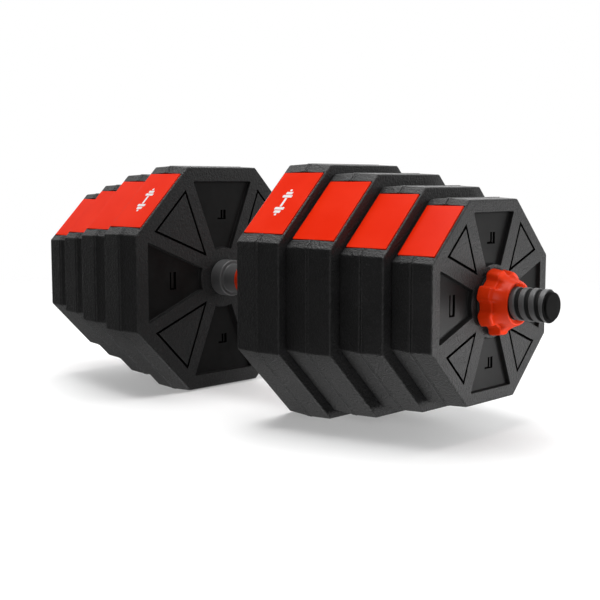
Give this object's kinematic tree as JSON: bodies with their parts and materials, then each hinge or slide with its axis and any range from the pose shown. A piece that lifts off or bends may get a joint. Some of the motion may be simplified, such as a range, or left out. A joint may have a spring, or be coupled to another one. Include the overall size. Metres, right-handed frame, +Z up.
{
  "type": "adjustable dumbbell",
  "caption": "Loadable dumbbell: threaded bar with a two-part grip, octagonal cement-filled plates stepped down outward, and a star nut on each end.",
  "frame": {"origin": "centre of the floor footprint, below the middle of the bar; the largest plates rest on z = 0", "axes": "+X along the bar, +Z up, -Y towards the front; the plates' labels face up and forward"},
  "size_m": [0.563, 0.204, 0.204],
  "materials": {
    "shell_plastic": "fine moulded grain",
    "label_plastic": "smooth satin",
    "cement": "cast, rough",
    "bar_plastic": "moulded, slightly glossy",
    "grip_plastic": "fine knurl",
    "nut_plastic": "satin",
    "seal_rubber": "matt",
    "tube_steel": "drawn tube"
  },
  "bodies": {
    "bar": {"core_tube": "tube_steel", "centre_band": "bar_plastic", "left_threaded_sleeve": "bar_plastic", "left_end_cap": "bar_plastic", "left_hand_stop": "bar_plastic", "left_grip": "grip_plastic", "right_threaded_sleeve": "bar_plastic", "right_end_cap": "bar_plastic", "right_hand_stop": "bar_plastic", "right_grip": "grip_plastic"},
    "right_plate_1": {"right_plate_1_inner_shell": "shell_plastic", "right_plate_1_outer_shell": "shell_plastic", "right_plate_1_cement_core": "cement", "right_plate_1_label": "label_plastic"},
    "right_plate_2": {"right_plate_2_inner_shell": "shell_plastic", "right_plate_2_outer_shell": "shell_plastic", "right_plate_2_cement_core": "cement", "right_plate_2_label": "label_plastic"},
    "right_plate_3": {"right_plate_3_inner_shell": "shell_plastic", "right_plate_3_outer_shell": "shell_plastic", "right_plate_3_cement_core": "cement", "right_plate_3_label": "label_plastic"},
    "right_plate_4": {"right_plate_4_inner_shell": "shell_plastic", "right_plate_4_outer_shell": "shell_plastic", "right_plate_4_cement_core": "cement", "right_plate_4_label": "label_plastic"},
    "right_seal": {"right_nut_seal": "seal_rubber"},
    "right_nut": {"right_star_nut": "nut_plastic"},
    "left_plate_1": {"left_plate_1_inner_shell": "shell_plastic", "left_plate_1_outer_shell": "shell_plastic", "left_plate_1_cement_core": "cement", "left_plate_1_label": "label_plastic"},
    "left_plate_2": {"left_plate_2_inner_shell": "shell_plastic", "left_plate_2_outer_shell": "shell_plastic", "left_plate_2_cement_core": "cement", "left_plate_2_label": "label_plastic"},
    "left_plate_3": {"left_plate_3_inner_shell": "shell_plastic", "left_plate_3_outer_shell": "shell_plastic", "left_plate_3_cement_core": "cement", "left_plate_3_label": "label_plastic"},
    "left_plate_4": {"left_plate_4_inner_shell": "shell_plastic", "left_plate_4_outer_shell": "shell_plastic", "left_plate_4_cement_core": "cement", "left_plate_4_label": "label_plastic"},
    "left_seal": {"left_nut_seal": "seal_rubber"},
    "left_nut": {"left_star_nut": "nut_plastic"}
  },
  "joints": [
    {"name": "right_plate_1_slide", "type": "slide", "parent": "bar", "child": "right_plate_1", "axis": [1, 0, 0], "range_m": [0, 0.0097]},
    {"name": "right_plate_2_slide", "type": "slide", "parent": "bar", "child": "right_plate_2", "axis": [1, 0, 0], "range_m": [0, 0.0193]},
    {"name": "right_plate_3_slide", "type": "slide", "parent": "bar", "child": "right_plate_3", "axis": [1, 0, 0], "range_m": [0, 0.0289]},
    {"name": "right_plate_4_slide", "type": "slide", "parent": "bar", "child": "right_plate_4", "axis": [1, 0, 0], "range_m": [0, 0.0385]},
    {"name": "right_seal_slide", "type": "slide", "parent": "bar", "child": "right_seal", "axis": [1, 0, 0], "range_m": [0, 0.048]},
    {"name": "right_nut_turn", "type": "hinge", "parent": "right_seal", "child": "right_nut", "pos_m": [0.234, 0, 0.102], "axis": [1, 0, 0], "range_deg": [0, 2161]},
    {"name": "left_plate_1_slide", "type": "slide", "parent": "bar", "child": "left_plate_1", "axis": [-1, 0, 0], "range_m": [0, 0.0097]},
    {"name": "left_plate_2_slide", "type": "slide", "parent": "bar", "child": "left_plate_2", "axis": [-1, 0, 0], "range_m": [0, 0.0193]},
    {"name": "left_plate_3_slide", "type": "slide", "parent": "bar", "child": "left_plate_3", "axis": [-1, 0, 0], "range_m": [0, 0.0289]},
    {"name": "left_plate_4_slide", "type": "slide", "parent": "bar", "child": "left_plate_4", "axis": [-1, 0, 0], "range_m": [0, 0.0385]},
    {"name": "left_seal_slide", "type": "slide", "parent": "bar", "child": "left_seal", "axis": [-1, 0, 0], "range_m": [0, 0.048]},
    {"name": "left_nut_turn", "type": "hinge", "parent": "left_seal", "child": "left_nut", "pos_m": [-0.234, 0, 0.102], "axis": [-1, 0, 0], "range_deg": [0, 2161]}
  ],
  "couplings": [
    {"joint": "right_plate_1_slide", "follows": "right_seal_slide", "ratio": 0.2},
    {"joint": "right_plate_2_slide", "follows": "right_seal_slide", "ratio": 0.4},
    {"joint": "right_plate_3_slide", "follows": "right_seal_slide", "ratio": 0.6},
    {"joint": "right_plate_4_slide", "follows": "right_seal_slide", "ratio": 0.8},
    {"joint": "right_nut_turn", "follows": "right_seal_slide", "rad_per_m": 785.4},
    {"joint": "left_plate_1_slide", "follows": "left_seal_slide", "ratio": 0.2},
    {"joint": "left_plate_2_slide", "follows": "left_seal_slide", "ratio": 0.4},
    {"joint": "left_plate_3_slide", "follows": "left_seal_slide", "ratio": 0.6},
    {"joint": "left_plate_4_slide", "follows": "left_seal_slide", "ratio": 0.8},
    {"joint": "left_nut_turn", "follows": "left_seal_slide", "rad_per_m": 785.4}
  ]
}
